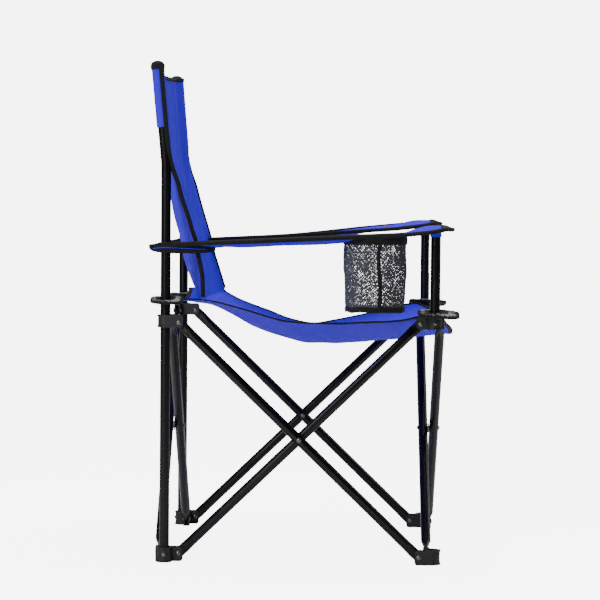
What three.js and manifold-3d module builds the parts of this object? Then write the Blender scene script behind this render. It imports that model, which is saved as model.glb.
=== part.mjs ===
// Folding camp chair: four scissor pairs of steel tube between four moulded corners,
// with a slung fabric seat, back, two arms and a mesh cup holder.
// Millimetres, +Z up, +X to the front, +Y to the sitter's left. The origin is on the floor,
// under the middle of the chair.
import * as THREE from "three";
import { mergeVertices } from "three/addons/utils/BufferGeometryUtils.js";
import Module from "manifold-3d";

// ---- driving dimensions ----
const cornerSpacing = 430.6; // between post axes, both ways
const overallHeight = 800;
const tubeRadius = 8;
const tubeWall = 1.1;
const openAngle = THREE.MathUtils.degToRad(44); // scissor tubes above the floor, chair open
const pivotInset = 22.5; // scissor pivot from the post axis, along its side
const gap = 0.3; // between touching pieces

// moulded corners
const footHeight = 24;
const footFloor = 4; // solid under the post socket
const footPivotHeight = 12.5;
const collarWall = 4; // round a post, with its clearance
const lipStep = 1; // the lip past the collar
const lipHeight = 2.5;
const bracketBelow = 8; // bracket under its pivots
const bracketAbove = 12.3; // bracket over its pivots
const socketClearance = 0.4;
const armNose = 6.7; // moulding past the pivot
const armNoseRound = 5; // rounding of the moulding past the pivot
const armThickness = 10.4;
const slotClearance = 0.3; // each side of a flattened tube end
const slotWeb = 3; // moulding left over the slot

// scissor tubes
const flatWidening = 0.5; // half width gained where a tube is pressed flat
const flatHalfThickness = 2.5;
const flatLength = 13; // flattened from the pivot
const flareLength = 14; // from flattened to round
const tubeEnd = 7; // tube past its pivot
const tubeSides = 12; // flats round a tube

// rivets and washers
const rivetRadius = 2.4;
const rivetHoleRadius = 2.7;
const rivetHeadRadius = 4.2;
const rivetHeadHeight = 1.8;
const washerRadius = 8;
const washerThickness = 1.8;
const pinInnerEnd = 2; // from the post's middle line to the pin's blind end
const postPinHeight = 2; // the arm post's pin over the bracket's pivots

// posts
const bendHeight = 636; // the rear post leans back above this
const backLean = THREE.MathUtils.degToRad(5.4);
const bendRadius = 90;
const armPostTop = 526.5;
const dimpleWidth = 6; // pressed flute on the arm post
const dimpleLength = 58;
const dimpleDepth = 0.6;
const dimpleTopDrop = 14;

// fabric
const clothThickness = 2.6;
const sleeveLength = 100;
const sleeveWall = 1.6;
const seatCornerRise = 19.1; // over the upper pivots
const seatEdgeDrop = 30; // the middle of a side under its corners
const seatMiddleDrop = 61; // the middle of the seat under its corners
const seatEdgeInset = 12; // how far a side curves in
const seatCornerInset = 17;
const panelGap = 0.35;
const backBottomRise = 45.1; // over the upper pivots
const backSideClearance = 6; // from the rear post's surface to the sheet's side
const armRearHeight = 507;
const armOverPost = 2; // cloth over the arm post, past the touching gap
const armWidth = 96;
const armLoopWidth = 4.5; // cloth inside the rear post
const armNarrowLength = 75; // narrow beside the back
const armRearOverhang = 31;
const armFrontOverhang = 28;
const cupRadius = 51;
const cupWall = 2;
const cupHeight = 117;
const cupSetback = 96.5; // cup axis behind the arm post
const cupMouthRadius = 46;

// ---- worked out from them ----
const half = cornerSpacing / 2;
const collarRadius = tubeRadius + collarWall;
const lipRadius = collarRadius + lipStep;
const flatHalfWidth = tubeRadius + flatWidening;
const planeOffset = tubeRadius + gap + washerThickness / 2; // tube from its side's plane
const spread = cornerSpacing - 2 * pivotInset; // between the two pivots of a scissor tube, level
const pivotSpan = spread / Math.cos(openAngle); // pivot to pivot, along the tube
const topPivotHeight = footPivotHeight + spread * Math.tan(openAngle);
const slotHalf = flatHalfThickness + slotClearance;
const rearPostTop = overallHeight - 4;
const seatCornerHeight = topPivotHeight + seatCornerRise;
const seatEdgeHeight = seatCornerHeight - seatEdgeDrop;
const seatMiddleHeight = seatCornerHeight - seatMiddleDrop;
const backBottomHeight = topPivotHeight + backBottomRise;

const wasm = await Module();
wasm.setup();

// ---- materials ----
const blackEnamel = new THREE.MeshStandardMaterial({ color: 0x0e0e10, roughness: 0.28, metalness: 0.4 });
const blackNylon = new THREE.MeshStandardMaterial({ color: 0x1a1a1c, roughness: 0.62, metalness: 0 });
const zincRivet = new THREE.MeshStandardMaterial({ color: 0x77787a, roughness: 0.4, metalness: 0.9 });
const blueCloth = new THREE.MeshStandardMaterial({ color: 0x2f43d0, roughness: 0.8, metalness: 0 });
const blackNet = new THREE.MeshStandardMaterial({ color: 0x2a2a2d, roughness: 0.85, metalness: 0 });

// ---- solids ----
function solid(geometry) {
  const plain = geometry.index ? geometry.clone() : mergeVertices(geometry);
  for (const name of ["normal", "uv"]) plain.deleteAttribute(name);
  const merged = mergeVertices(plain, 1e-4);
  return new wasm.Manifold(
    new wasm.Mesh({
      numProp: 3,
      vertProperties: merged.attributes.position.array,
      triVerts: new Uint32Array(merged.index.array),
    }),
  );
}

function mesh(name, body, material) {
  const data = body.getMesh();
  const geometry = new THREE.BufferGeometry();
  geometry.setAttribute("position", new THREE.BufferAttribute(data.vertProperties, 3));
  geometry.setIndex(new THREE.BufferAttribute(data.triVerts, 1));
  const made = new THREE.Mesh(geometry, material);
  made.name = name;
  return made;
}

function join(...bodies) {
  return bodies.reduce((whole, body) => whole.add(body));
}

function cut(body, ...tools) {
  return tools.reduce((left, tool) => left.subtract(tool), body);
}

// A cylinder from one point to another.
function rod(radius, from, to, sides = 8) {
  const start = new THREE.Vector3(...from);
  const run = new THREE.Vector3(...to).sub(start);
  const turn = new THREE.Quaternion().setFromUnitVectors(
    new THREE.Vector3(0, 1, 0),
    run.clone().normalize(),
  );
  const geometry = new THREE.CylinderGeometry(radius, radius, run.length(), sides);
  geometry.applyQuaternion(turn);
  geometry.translate(...start.addScaledVector(run, 0.5).toArray());
  return solid(geometry);
}

function box(low, high) {
  const size = high.map((value, i) => value - low[i]);
  const geometry = new THREE.BoxGeometry(...size);
  geometry.translate(...low.map((value, i) => value + size[i] / 2));
  return solid(geometry);
}

function turned(profile, sides = 14) {
  const geometry = new THREE.LatheGeometry(
    profile.map(([radius, height]) => new THREE.Vector2(radius, height)),
    sides,
  );
  geometry.rotateX(Math.PI / 2);
  return solid(geometry);
}

// An outline in the X-Z plane, drawn through a thickness along Y.
function plate(outline, thickness, middle) {
  const geometry = new THREE.ExtrudeGeometry(outline, {
    depth: thickness,
    bevelEnabled: false,
    curveSegments: 5,
  });
  geometry.rotateX(Math.PI / 2);
  geometry.translate(0, middle + thickness / 2, 0);
  return solid(geometry);
}

function ring(outer, inner) {
  const shape = new THREE.Shape().absarc(0, 0, outer, 0, 2 * Math.PI);
  shape.holes.push(new THREE.Path().absarc(0, 0, inner, 0, 2 * Math.PI, true));
  return shape;
}

// ---- moulded corners: one moulding for the four feet, one for the four brackets ----
// The corner's own frame has the next side along +X and the previous side along +Y.
function sideArm(bottom, top, slotLow, slotHigh, pivotHeight, offset) {
  const reach = pivotInset + armNose;
  const outline = new THREE.Shape();
  outline.moveTo(0, bottom);
  outline.lineTo(reach - armNoseRound, bottom);
  outline.quadraticCurveTo(reach, bottom, reach, bottom + armNoseRound);
  outline.lineTo(reach, top - armNoseRound);
  outline.quadraticCurveTo(reach, top, reach - armNoseRound, top);
  outline.lineTo(0, top);
  outline.closePath();
  const body = plate(outline, armThickness, offset);
  const slot = box(
    [pivotInset - flatHalfWidth - 1, offset - slotHalf, slotLow],
    [reach + 1, offset + slotHalf, slotHigh],
  );
  const hole = rod(
    rivetHoleRadius,
    [pivotInset, offset - armThickness, pivotHeight],
    [pivotInset, offset + armThickness, pivotHeight],
  );
  return { body, slot, hole };
}

// Turns a side arm along +X into one along +Y, keeping its offset on the wanted side.
function turnedToY(body) {
  return body.rotate([0, 0, 90]);
}

function collar(bottom, top) {
  return turned([
    [0, bottom],
    [lipRadius, bottom],
    [lipRadius, bottom + lipHeight],
    [collarRadius, bottom + lipHeight + 1],
    [collarRadius, top - lipHeight - 1],
    [lipRadius, top - lipHeight],
    [lipRadius, top],
    [0, top],
  ]);
}

function footMoulding() {
  const slotLow = footPivotHeight - flatHalfWidth - 1;
  const next = sideArm(0, footHeight, slotLow, footHeight + 1, footPivotHeight, planeOffset);
  const previous = sideArm(0, footHeight, slotLow, footHeight + 1, footPivotHeight, planeOffset);
  const socket = rod(
    tubeRadius + socketClearance,
    [0, 0, footFloor],
    [0, 0, footHeight + 1],
    tubeSides,
  );
  const pinHole = rod(rivetHoleRadius, [0, 0, footPivotHeight], [0, -lipRadius - 1, footPivotHeight]);
  return cut(
    join(collar(0, footHeight), next.body, turnedToY(previous.body)),
    next.slot,
    turnedToY(previous.slot),
    next.hole,
    turnedToY(previous.hole),
    socket,
    pinHole,
  );
}

function bracketMoulding() {
  const slotHigh = bracketAbove - slotWeb;
  const next = sideArm(-bracketBelow, bracketAbove, -bracketBelow - 1, slotHigh, 0, -planeOffset);
  const previous = sideArm(-bracketBelow, bracketAbove, -bracketBelow - 1, slotHigh, 0, -planeOffset);
  const bore = rod(
    tubeRadius + socketClearance,
    [0, 0, -bracketBelow - 1],
    [0, 0, bracketAbove + 1],
    tubeSides,
  );
  const pinHole = rod(rivetHoleRadius, [0, 0, postPinHeight], [-lipRadius - 1, 0, postPinHeight]);
  return cut(
    join(collar(-bracketBelow, bracketAbove), next.body, turnedToY(previous.body)),
    next.slot,
    turnedToY(previous.slot),
    next.hole,
    turnedToY(previous.hole),
    bore,
    pinHole,
  );
}

// ---- rivets ----
// A rivet along +Z with its middle at the origin: a shank with a domed head at each end.
function rivet(gripLength) {
  const grip = gripLength / 2 + gap;
  return turned(
    [
      [0, -grip - rivetHeadHeight],
      [rivetHeadRadius * 0.6, -grip - rivetHeadHeight * 0.85],
      [rivetHeadRadius, -grip],
      [rivetRadius, -grip],
      [rivetRadius, grip],
      [rivetHeadRadius, grip],
      [rivetHeadRadius * 0.6, grip + rivetHeadHeight * 0.85],
      [0, grip + rivetHeadHeight],
    ],
    8,
  );
}

// A pin with one head, from inside the post out through the collar, along -Y.
function fixingPin() {
  const grip = collarRadius + gap;
  const body = turned(
    [
      [0, pinInnerEnd],
      [rivetRadius, pinInnerEnd],
      [rivetRadius, grip],
      [rivetHeadRadius - 0.8, grip],
      [rivetRadius * 0.8, grip + rivetHeadHeight * 0.8],
      [0, grip + rivetHeadHeight],
    ],
    8,
  );
  return body.rotate([90, 0, 0]);
}

// ---- tubes ----
// A scissor tube along +X from its lower pivot, flattened at both ends, its holes along Y.
function scissorTube() {
  const fromPivot = [
    [-tubeEnd, 0.6, 1],
    [-tubeEnd / 2, 0.95, 1],
    [flatLength, 1, 1],
    [flatLength + flareLength, 1, 0],
  ];
  const stations = [
    ...fromPivot,
    ...fromPivot.map(([along, width, flat]) => [pivotSpan - along, width, flat]).reverse(),
  ];
  const geometry = new THREE.ExtrudeGeometry(ring(tubeRadius, tubeRadius - tubeWall), {
    depth: stations.length - 1,
    steps: stations.length - 1,
    bevelEnabled: false,
    curveSegments: tubeSides / 2,
  });
  const place = geometry.attributes.position;
  for (let i = 0; i < place.count; i += 1) {
    const [along, width, flat] = stations[Math.round(place.getZ(i))];
    const radius = Math.hypot(place.getX(i), place.getY(i));
    const inside = tubeRadius - radius;
    const wide = THREE.MathUtils.lerp(tubeRadius, flatHalfWidth * width, flat) - inside;
    const thick = THREE.MathUtils.lerp(tubeRadius, flatHalfThickness, flat) - inside;
    const across = (place.getX(i) / radius) * wide;
    const through = (place.getY(i) / radius) * thick;
    place.setXYZ(i, along, through, across);
  }
  const geometryTurned = flipped(geometry);
  const holes = [0, pivotSpan / 2, pivotSpan].map((along) =>
    rod(rivetHoleRadius, [along, -tubeRadius - 1, 0], [along, tubeRadius + 1, 0]),
  );
  return cut(solid(geometryTurned), ...holes);
}

// Reverses each face, after a change of axes that mirrors a geometry.
function flipped(geometry) {
  const made = geometry.index ? geometry.toNonIndexed() : geometry.clone();
  const place = made.attributes.position;
  const a = new THREE.Vector3();
  const b = new THREE.Vector3();
  for (let i = 0; i < place.count; i += 3) {
    a.fromBufferAttribute(place, i + 1);
    b.fromBufferAttribute(place, i + 2);
    place.setXYZ(i + 1, b.x, b.y, b.z);
    place.setXYZ(i + 2, a.x, a.y, a.z);
  }
  return made;
}

// The rear post's axis: straight up, round the bend, then leaning back.
function rearPostAxis() {
  const bendLength = bendRadius * Math.tan(backLean / 2);
  const lean = new THREE.Vector3(-Math.sin(backLean), 0, Math.cos(backLean));
  const bend = new THREE.Vector3(0, 0, bendHeight);
  const leanLength = (rearPostTop - bendHeight) / Math.cos(backLean);
  const axis = new THREE.CurvePath();
  const before = bend.clone().setZ(bendHeight - bendLength);
  const after = bend.clone().addScaledVector(lean, bendLength);
  axis.add(new THREE.LineCurve3(new THREE.Vector3(0, 0, footFloor + gap), before));
  axis.add(new THREE.QuadraticBezierCurve3(before, bend, after));
  axis.add(new THREE.LineCurve3(after, bend.clone().addScaledVector(lean, leanLength)));
  return axis;
}

function rearPost() {
  const geometry = new THREE.ExtrudeGeometry(ring(tubeRadius, tubeRadius - tubeWall), {
    extrudePath: rearPostAxis(),
    steps: 10,
    bevelEnabled: false,
    curveSegments: tubeSides / 2,
  });
  return solid(geometry);
}

// A straight post from the bracket up to the arm, with a pressed flute on its outer side.
function armPost() {
  const bottom = -bracketBelow + 1;
  const top = armPostTop - topPivotHeight;
  const geometry = new THREE.ExtrudeGeometry(ring(tubeRadius, tubeRadius - tubeWall), {
    depth: top - bottom,
    bevelEnabled: false,
    curveSegments: tubeSides / 2,
  });
  geometry.translate(0, 0, bottom);
  const flute = new THREE.Shape();
  const radius = dimpleWidth / 2;
  const low = top - dimpleTopDrop - dimpleLength;
  flute.absarc(0, low + radius, radius, Math.PI, 2 * Math.PI);
  flute.absarc(0, top - dimpleTopDrop - radius, radius, 0, Math.PI);
  flute.closePath();
  return cut(solid(geometry), plate(flute, 2, -tubeRadius - 1 + dimpleDepth));
}

// Cross holes for the pin that fixes a post, along -Y.
function withPinHole(post, height) {
  return cut(post, rod(rivetHoleRadius, [0, 0, height], [0, -tubeRadius - 1, height]));
}

// ---- fabric ----
function seatHeight(x, y) {
  const along = Math.max(Math.abs(x), Math.abs(y));
  const across = Math.min(Math.abs(x), Math.abs(y));
  const edge = THREE.MathUtils.lerp(seatEdgeHeight, seatCornerHeight, across / half);
  return THREE.MathUtils.lerp(seatMiddleHeight, edge, along / half);
}

// One quarter of the slung seat, between its two creases, for the side at -Y.
function seatQuarter() {
  const corner = half - seatCornerInset;
  const edge = half - seatEdgeInset;
  const outline = new THREE.Shape([
    new THREE.Vector2(-corner + panelGap, -corner),
    new THREE.Vector2(0, -edge),
    new THREE.Vector2(corner - panelGap, -corner),
    new THREE.Vector2(corner / 2, -corner / 2 - panelGap),
    new THREE.Vector2(0, -panelGap),
    new THREE.Vector2(-corner / 2, -corner / 2 - panelGap),
  ]);
  const geometry = new THREE.ExtrudeGeometry(outline, {
    depth: clothThickness,
    bevelEnabled: false,
  });
  const place = geometry.attributes.position;
  for (let i = 0; i < place.count; i += 1) {
    place.setZ(i, place.getZ(i) + seatHeight(place.getX(i), place.getY(i)));
  }
  return solid(geometry);
}

// The back, from the sleeves down to the seam on the seat: a curved sheet between the posts.
function backSheet() {
  const low = (share) => THREE.MathUtils.lerp(backBottomHeight, bendHeight, share);
  const top = overallHeight - 3;
  const shape = [
    [40, low(0)], // ahead of the posts, and the height
    [23, low(0.34)],
    [8, low(0.73)],
    [-2, bendHeight],
    [-6, THREE.MathUtils.lerp(bendHeight, top, 0.4)],
    [-14, top],
  ];
  const front = new THREE.CatmullRomCurve3(
    shape.map(([ahead, height]) => new THREE.Vector3(ahead - half, 0, height)),
  );
  const line = front.getSpacedPoints(12);
  const outline = new THREE.Shape([
    ...line.map((p) => new THREE.Vector2(p.x, p.z)),
    ...line.reverse().map((p) => new THREE.Vector2(p.x + clothThickness, p.z)),
  ]);
  return plate(outline, cornerSpacing - 2 * (tubeRadius + backSideClearance), 0);
}

// A sleeve closed over the top of a rear post, in the frame of the post's foot.
function backSleeve() {
  const bore = tubeRadius + gap;
  const top = (rearPostTop - bendHeight) / Math.cos(backLean) + gap;
  const body = turned([
    [bore, top - sleeveLength],
    [bore + sleeveWall, top - sleeveLength],
    [bore + sleeveWall, top + sleeveWall],
    [0, top + sleeveWall],
    [0, top],
    [bore, top],
    [bore, top - sleeveLength],
  ]);
  return body
    .rotate([0, THREE.MathUtils.radToDeg(-backLean), 0])
    .translate([0, 0, bendHeight]);
}

function armHeight(x) {
  const front = armPostTop + gap + armOverPost;
  return THREE.MathUtils.lerp(armRearHeight, front, Math.min(1, (x + half) / cornerSpacing));
}

// An arm rest in the frame of its own side's middle plane, with the rear post through it.
// inward is +1 where the chair's middle is at +Y of it, and -1 where it is at -Y.
function armRest(inward, withCupMouth) {
  const rear = -half - armRearOverhang;
  const front = half + armFrontOverhang;
  const wide = (inward * armWidth) / 2;
  const narrow = inward * (tubeRadius + 1 + armLoopWidth);
  const nose = armRearOverhang;
  const outline = new THREE.Shape();
  outline.moveTo(0, -wide);
  outline.lineTo(half, -wide);
  outline.quadraticCurveTo(front, -wide, front, 0);
  outline.quadraticCurveTo(front, wide, half, wide);
  outline.lineTo(-half + 2 * armNarrowLength, wide);
  outline.lineTo(-half + armNarrowLength, narrow);
  outline.lineTo(rear + nose, narrow);
  outline.quadraticCurveTo(rear, narrow, rear, 0);
  outline.quadraticCurveTo(rear, -wide, rear + nose, -wide);
  outline.closePath();
  const hole = (x, radius) => new THREE.Path().absarc(x, 0, radius, 0, 2 * Math.PI, inward > 0);
  outline.holes.push(hole(-half, tubeRadius + 1));
  if (withCupMouth) outline.holes.push(hole(half - cupSetback, cupMouthRadius));
  const geometry = new THREE.ExtrudeGeometry(outline, {
    depth: clothThickness,
    bevelEnabled: false,
    curveSegments: 8,
  });
  const place = geometry.attributes.position;
  for (let i = 0; i < place.count; i += 1) {
    place.setZ(i, place.getZ(i) + armHeight(place.getX(i)));
  }
  return solid(geometry);
}

// The net cup holder, open at the top, hanging under the right arm.
function cupHolder() {
  const top = armHeight(half - cupSetback - cupRadius) - gap;
  const bottom = top - cupHeight;
  const body = turned(
    [
      [0, bottom],
      [cupRadius - 4, bottom],
      [cupRadius, bottom + 4],
      [cupRadius, top],
      [cupRadius - cupWall, top],
      [cupRadius - cupWall, bottom + 4 + cupWall],
      [cupRadius - 4 - cupWall, bottom + cupWall],
      [0, bottom + cupWall],
    ],
    24,
  );
  return body.translate([half - cupSetback, -half, 0]);
}

// ---- assembly ----
const chair = new THREE.Group();
const corners = ["right_rear", "right_front", "left_front", "left_rear"];
const sides = ["right", "front", "left", "rear"];

// A group at a corner, turned so that the next side runs along its +X.
function cornerGroup(index, height) {
  const turn = new THREE.Group();
  turn.rotation.z = (index * Math.PI) / 2;
  const place = new THREE.Group();
  place.position.set(-half, -half, height);
  turn.add(place);
  chair.add(turn);
  return place;
}

// A rivet mesh at a place in a group, along the group's Y or X.
function placeRivet(name, group, body, place, alongX = false) {
  const made = mesh(name, body, zincRivet);
  made.position.set(...place);
  if (alongX) made.rotation.y = Math.PI / 2;
  else made.rotation.x = Math.PI / 2;
  group.add(made);
}

const foot = footMoulding();
const bracket = bracketMoulding();
const pivotRivet = rivet(armThickness);
const crossRivet = rivet(2 * (planeOffset + tubeRadius));
const pin = fixingPin();
const tube = scissorTube();
const washerHalf = washerThickness / 2;
const washer = turned(
  [
    [rivetHoleRadius, -washerHalf],
    [washerRadius, -washerHalf],
    [washerRadius, washerHalf],
    [rivetHoleRadius, washerHalf],
    [rivetHoleRadius, -washerHalf],
  ],
  12,
);

corners.forEach((name, index) => {
  const low = cornerGroup(index, 0);
  low.add(mesh(name + "_foot", foot, blackNylon));
  const footNext = [pivotInset, planeOffset, footPivotHeight];
  const footPrevious = [-planeOffset, pivotInset, footPivotHeight];
  placeRivet(name + "_foot_next_rivet", low, pivotRivet, footNext);
  placeRivet(name + "_foot_previous_rivet", low, pivotRivet, footPrevious, true);
  const high = cornerGroup(index, topPivotHeight);
  const kind = name.endsWith("rear") ? "_slider" : "_bracket";
  high.add(mesh(name + kind, bracket, blackNylon));
  placeRivet(name + kind + "_next_rivet", high, pivotRivet, [pivotInset, -planeOffset, 0]);
  placeRivet(name + kind + "_previous_rivet", high, pivotRivet, [planeOffset, pivotInset, 0], true);
});

// The posts stand in world directions, so they are placed without the corner's turn.
const rearPostBody = rearPost();
const armPostBody = armPost();
for (const [name, side] of [["right", -1], ["left", 1]]) {
  // The foot's pin hole faces out at the right and back at the left.
  const footTurn = side < 0 ? 0 : -90;
  const pinHole = rod(
    rivetHoleRadius,
    [0, 0, footPivotHeight],
    [0, -tubeRadius - 1, footPivotHeight],
  );
  const rearBody = cut(rearPostBody, pinHole.rotate([0, 0, footTurn]));
  const rear = mesh(name + "_rear_post", rearBody, blackEnamel);
  rear.position.set(-half, side * half, 0);
  chair.add(rear);
  const pinMesh = mesh(name + "_rear_foot_pin", pin.rotate([0, 0, footTurn]), zincRivet);
  pinMesh.position.set(-half, side * half, footPivotHeight);
  chair.add(pinMesh);

  // The bracket's pin hole faces out at the right and forward at the left.
  const bracketTurn = side < 0 ? 0 : 90;
  const frontBody = withPinHole(armPostBody, postPinHeight).rotate([0, 0, bracketTurn]);
  const front = mesh(name + "_arm_post", frontBody, blackEnamel);
  front.position.set(half, side * half, topPivotHeight);
  chair.add(front);
  const bracketPin = mesh(name + "_arm_post_pin", pin.rotate([0, 0, bracketTurn]), zincRivet);
  bracketPin.position.set(half, side * half, topPivotHeight + postPinHeight);
  chair.add(bracketPin);

  const sleeve = mesh(name + "_back_sleeve", backSleeve(), blueCloth);
  sleeve.position.set(-half, side * half, 0);
  chair.add(sleeve);
  const arm = mesh(name + "_arm_rest", armRest(-side, side < 0), blueCloth);
  arm.position.y = side * half;
  chair.add(arm);
}

// Each side: tube a rises towards the next corner inside the side's plane, tube b outside it.
sides.forEach((name, index) => {
  const side = cornerGroup(index, 0);
  const lower = mesh(name + "_tube_a", tube, blackEnamel);
  lower.position.set(pivotInset, planeOffset, footPivotHeight);
  lower.rotation.y = -openAngle;
  side.add(lower);
  const upper = mesh(name + "_tube_b", tube, blackEnamel);
  upper.position.set(pivotInset, -planeOffset, topPivotHeight);
  upper.rotation.y = openAngle;
  side.add(upper);
  const crossX = pivotInset + spread / 2;
  const crossZ = (footPivotHeight + topPivotHeight) / 2;
  placeRivet(name + "_cross_rivet", side, crossRivet, [crossX, 0, crossZ]);
  const spacer = mesh(name + "_cross_washer", washer, blackNylon);
  spacer.position.set(crossX, 0, crossZ);
  spacer.rotation.x = Math.PI / 2;
  side.add(spacer);

  const quarter = mesh("seat_" + name, seatQuarter(), blueCloth);
  quarter.rotation.z = (index * Math.PI) / 2;
  chair.add(quarter);
});

chair.add(mesh("back_panel", backSheet(), blueCloth));
chair.add(mesh("cup_holder", cupHolder(), blackNet));

export default chair;
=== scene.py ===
"""Folding camp chair: cloth, net, tubes and finishes round the packed frame."""

import math

import bpy
import numpy as np
from mathutils import Matrix, Vector, noise


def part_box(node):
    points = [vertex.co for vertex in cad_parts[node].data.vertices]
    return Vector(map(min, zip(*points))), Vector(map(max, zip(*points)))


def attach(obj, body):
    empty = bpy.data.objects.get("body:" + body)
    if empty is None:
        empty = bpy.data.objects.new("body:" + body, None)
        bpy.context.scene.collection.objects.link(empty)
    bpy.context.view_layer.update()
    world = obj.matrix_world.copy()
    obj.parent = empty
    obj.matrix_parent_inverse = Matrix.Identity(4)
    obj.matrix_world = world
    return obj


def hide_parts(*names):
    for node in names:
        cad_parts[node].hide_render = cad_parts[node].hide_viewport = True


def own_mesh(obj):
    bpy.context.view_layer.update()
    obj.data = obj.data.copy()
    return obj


bl_info = {
    "name": "Folding Camp Chair",
    "version": (1, 0, 0),
    "blender": (4, 5, 0),
    "location": "3D View > Sidebar > Camp Chair",
    "description": "Builds the cloth, tubes, net and finishes of a folding camp chair",
    "category": "Add Mesh",
}

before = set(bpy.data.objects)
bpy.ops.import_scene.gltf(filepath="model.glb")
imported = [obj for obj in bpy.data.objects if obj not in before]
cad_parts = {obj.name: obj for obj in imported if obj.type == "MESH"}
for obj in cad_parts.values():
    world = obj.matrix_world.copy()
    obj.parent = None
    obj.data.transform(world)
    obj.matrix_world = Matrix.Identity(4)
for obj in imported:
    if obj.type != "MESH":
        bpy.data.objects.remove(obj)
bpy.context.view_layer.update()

# ---- places read from the frame, in metres ----
SIDES = ("right", "front", "left", "rear")
CARRIERS = ("right_rear_slider", "right_front_bracket", "left_front_bracket", "left_rear_slider")


def middle(node):
    low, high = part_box(node)
    return (low + high) / 2


HALF = middle("right_arm_post").x  # from the middle of the chair to a post's axis
POST_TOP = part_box("right_rear_post")[1].z
ARM_POST_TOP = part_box("right_arm_post")[1].z
SLEEVE_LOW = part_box("right_back_sleeve")[0].z
CUP = middle("cup_holder")
CUP_LOW, CUP_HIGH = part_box("cup_holder")
CUP_RADIUS = 0.0495  # the net's middle line
CUP_MOUTH_RADIUS = 0.046  # the hole in the arm above it
BEND_HEIGHT = 0.636  # where the rear posts bend back
BACK_LEAN = math.tan(math.radians(5.4))


# ---- what a user may change ----
def length_setting(name, description, default, low, high):
    return bpy.props.FloatProperty(
        name=name,
        description=description,
        default=default,
        min=low,
        max=high,
        precision=4,
        unit="LENGTH",
    )


def colour_setting(name, description, code):
    """A colour that the user picks in sRGB, from its hex code."""
    return bpy.props.FloatVectorProperty(
        name=name,
        description=description,
        subtype="COLOR_GAMMA",
        default=[int(code[i : i + 2], 16) / 255 for i in (1, 3, 5)],
        min=0,
        max=1,
    )


class CampChairSizes(bpy.types.PropertyGroup):
    """Sizes in metres, and one share."""

    binding_width: length_setting(
        "Binding width", "Width of the woven tape folded over each cloth edge", 0.0075, 0.003, 0.02
    )
    cloth_thickness: length_setting(
        "Cloth thickness", "Thickness of the coated polyester", 0.0009, 0.0003, 0.003
    )
    net_pitch: length_setting(
        "Net pitch", "Side of one diamond of the cup holder's net", 0.0028, 0.0015, 0.01
    )
    net_hole: bpy.props.FloatProperty(
        name="Net hole",
        description="Width of a hole of the net, as a share of its diamond",
        default=0.45,
        min=0.1,
        max=0.8,
        subtype="FACTOR",
    )
    wrinkle_depth: length_setting(
        "Wrinkle depth", "Height of the cloth's soft wrinkles", 0.0016, 0.0, 0.01
    )


class CampChairColours(bpy.types.PropertyGroup):
    """sRGB colours, as a user picks them."""

    enamel: colour_setting("Enamel", "Stoved enamel on the tubes", "#08080a")
    nylon: colour_setting("Nylon", "Moulded corners", "#101012")
    zinc: colour_setting("Zinc", "Plated rivets", "#77787a")
    cloth: colour_setting("Cloth", "Seat, back and arms", "#3a0cee")
    tape: colour_setting("Tape", "Woven binding and patches", "#0d0c0e")
    net: colour_setting("Net", "Cup holder's net", "#45454d")
    # the thread's light grey is partly painted highlight: it stands in for the grazing sheen on the
    # black patch tape, over stitches that are really dark
    thread: colour_setting("Thread", "Zigzag stitching on the corner patches", "#b8b8bc")
    floor: colour_setting("Floor", "Studio floor and backdrop", "#fbfbfb")


def sizes():
    return bpy.context.scene.camp_chair_sizes


def colours():
    return bpy.context.scene.camp_chair_colours


# ---- materials ----
WAVE_SPACING = 0.314  # metres between a wave texture's bands at scale 1


def linear(picked):
    """sRGB to linear, with full alpha."""
    made = [c / 12.92 if c <= 0.04045 else ((c + 0.055) / 1.055) ** 2.4 for c in picked]
    return (*made, 1.0)


def shades(picked, low, high):
    """The two colours of a Mix node, by socket: the picked one times low, and times high."""
    middle_shade = linear(picked)[:3]
    dark = [c * low for c in middle_shade]
    light = [min(1.0, c * high) for c in middle_shade]
    return [(6, (*dark, 1.0)), (7, (*light, 1.0))]


def add_node(tree, kind, links=(), inputs=(), **settings):
    """A node with its settings, input values, and links as (socket of this node, output)."""
    node = tree.nodes.new(kind)
    for name, value in settings.items():
        setattr(node, name, value)
    for name, value in inputs:
        node.inputs[name].default_value = value
    for name, output in links:
        tree.links.new(output, node.inputs[name])
    return node


def named_material(name):
    """Turns a function of a tree and its shader into one that gives the material of this name."""

    def wrap(build):
        def get():
            made = bpy.data.materials.get(name)
            if made is None:
                made = bpy.data.materials.new(name)
                made.use_nodes = True
                build(made.node_tree, made.node_tree.nodes["Principled BSDF"])
            return made

        get.__doc__ = build.__doc__
        return get

    return wrap


def finish_shader(tree, shader, outputs, values):
    """Links outputs to the shader's sockets, and sets its values that are the same all over."""
    for name, output in outputs.items():
        tree.links.new(output, shader.inputs[name])
    for name, value in values.items():
        shader.inputs[name].default_value = value


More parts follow.
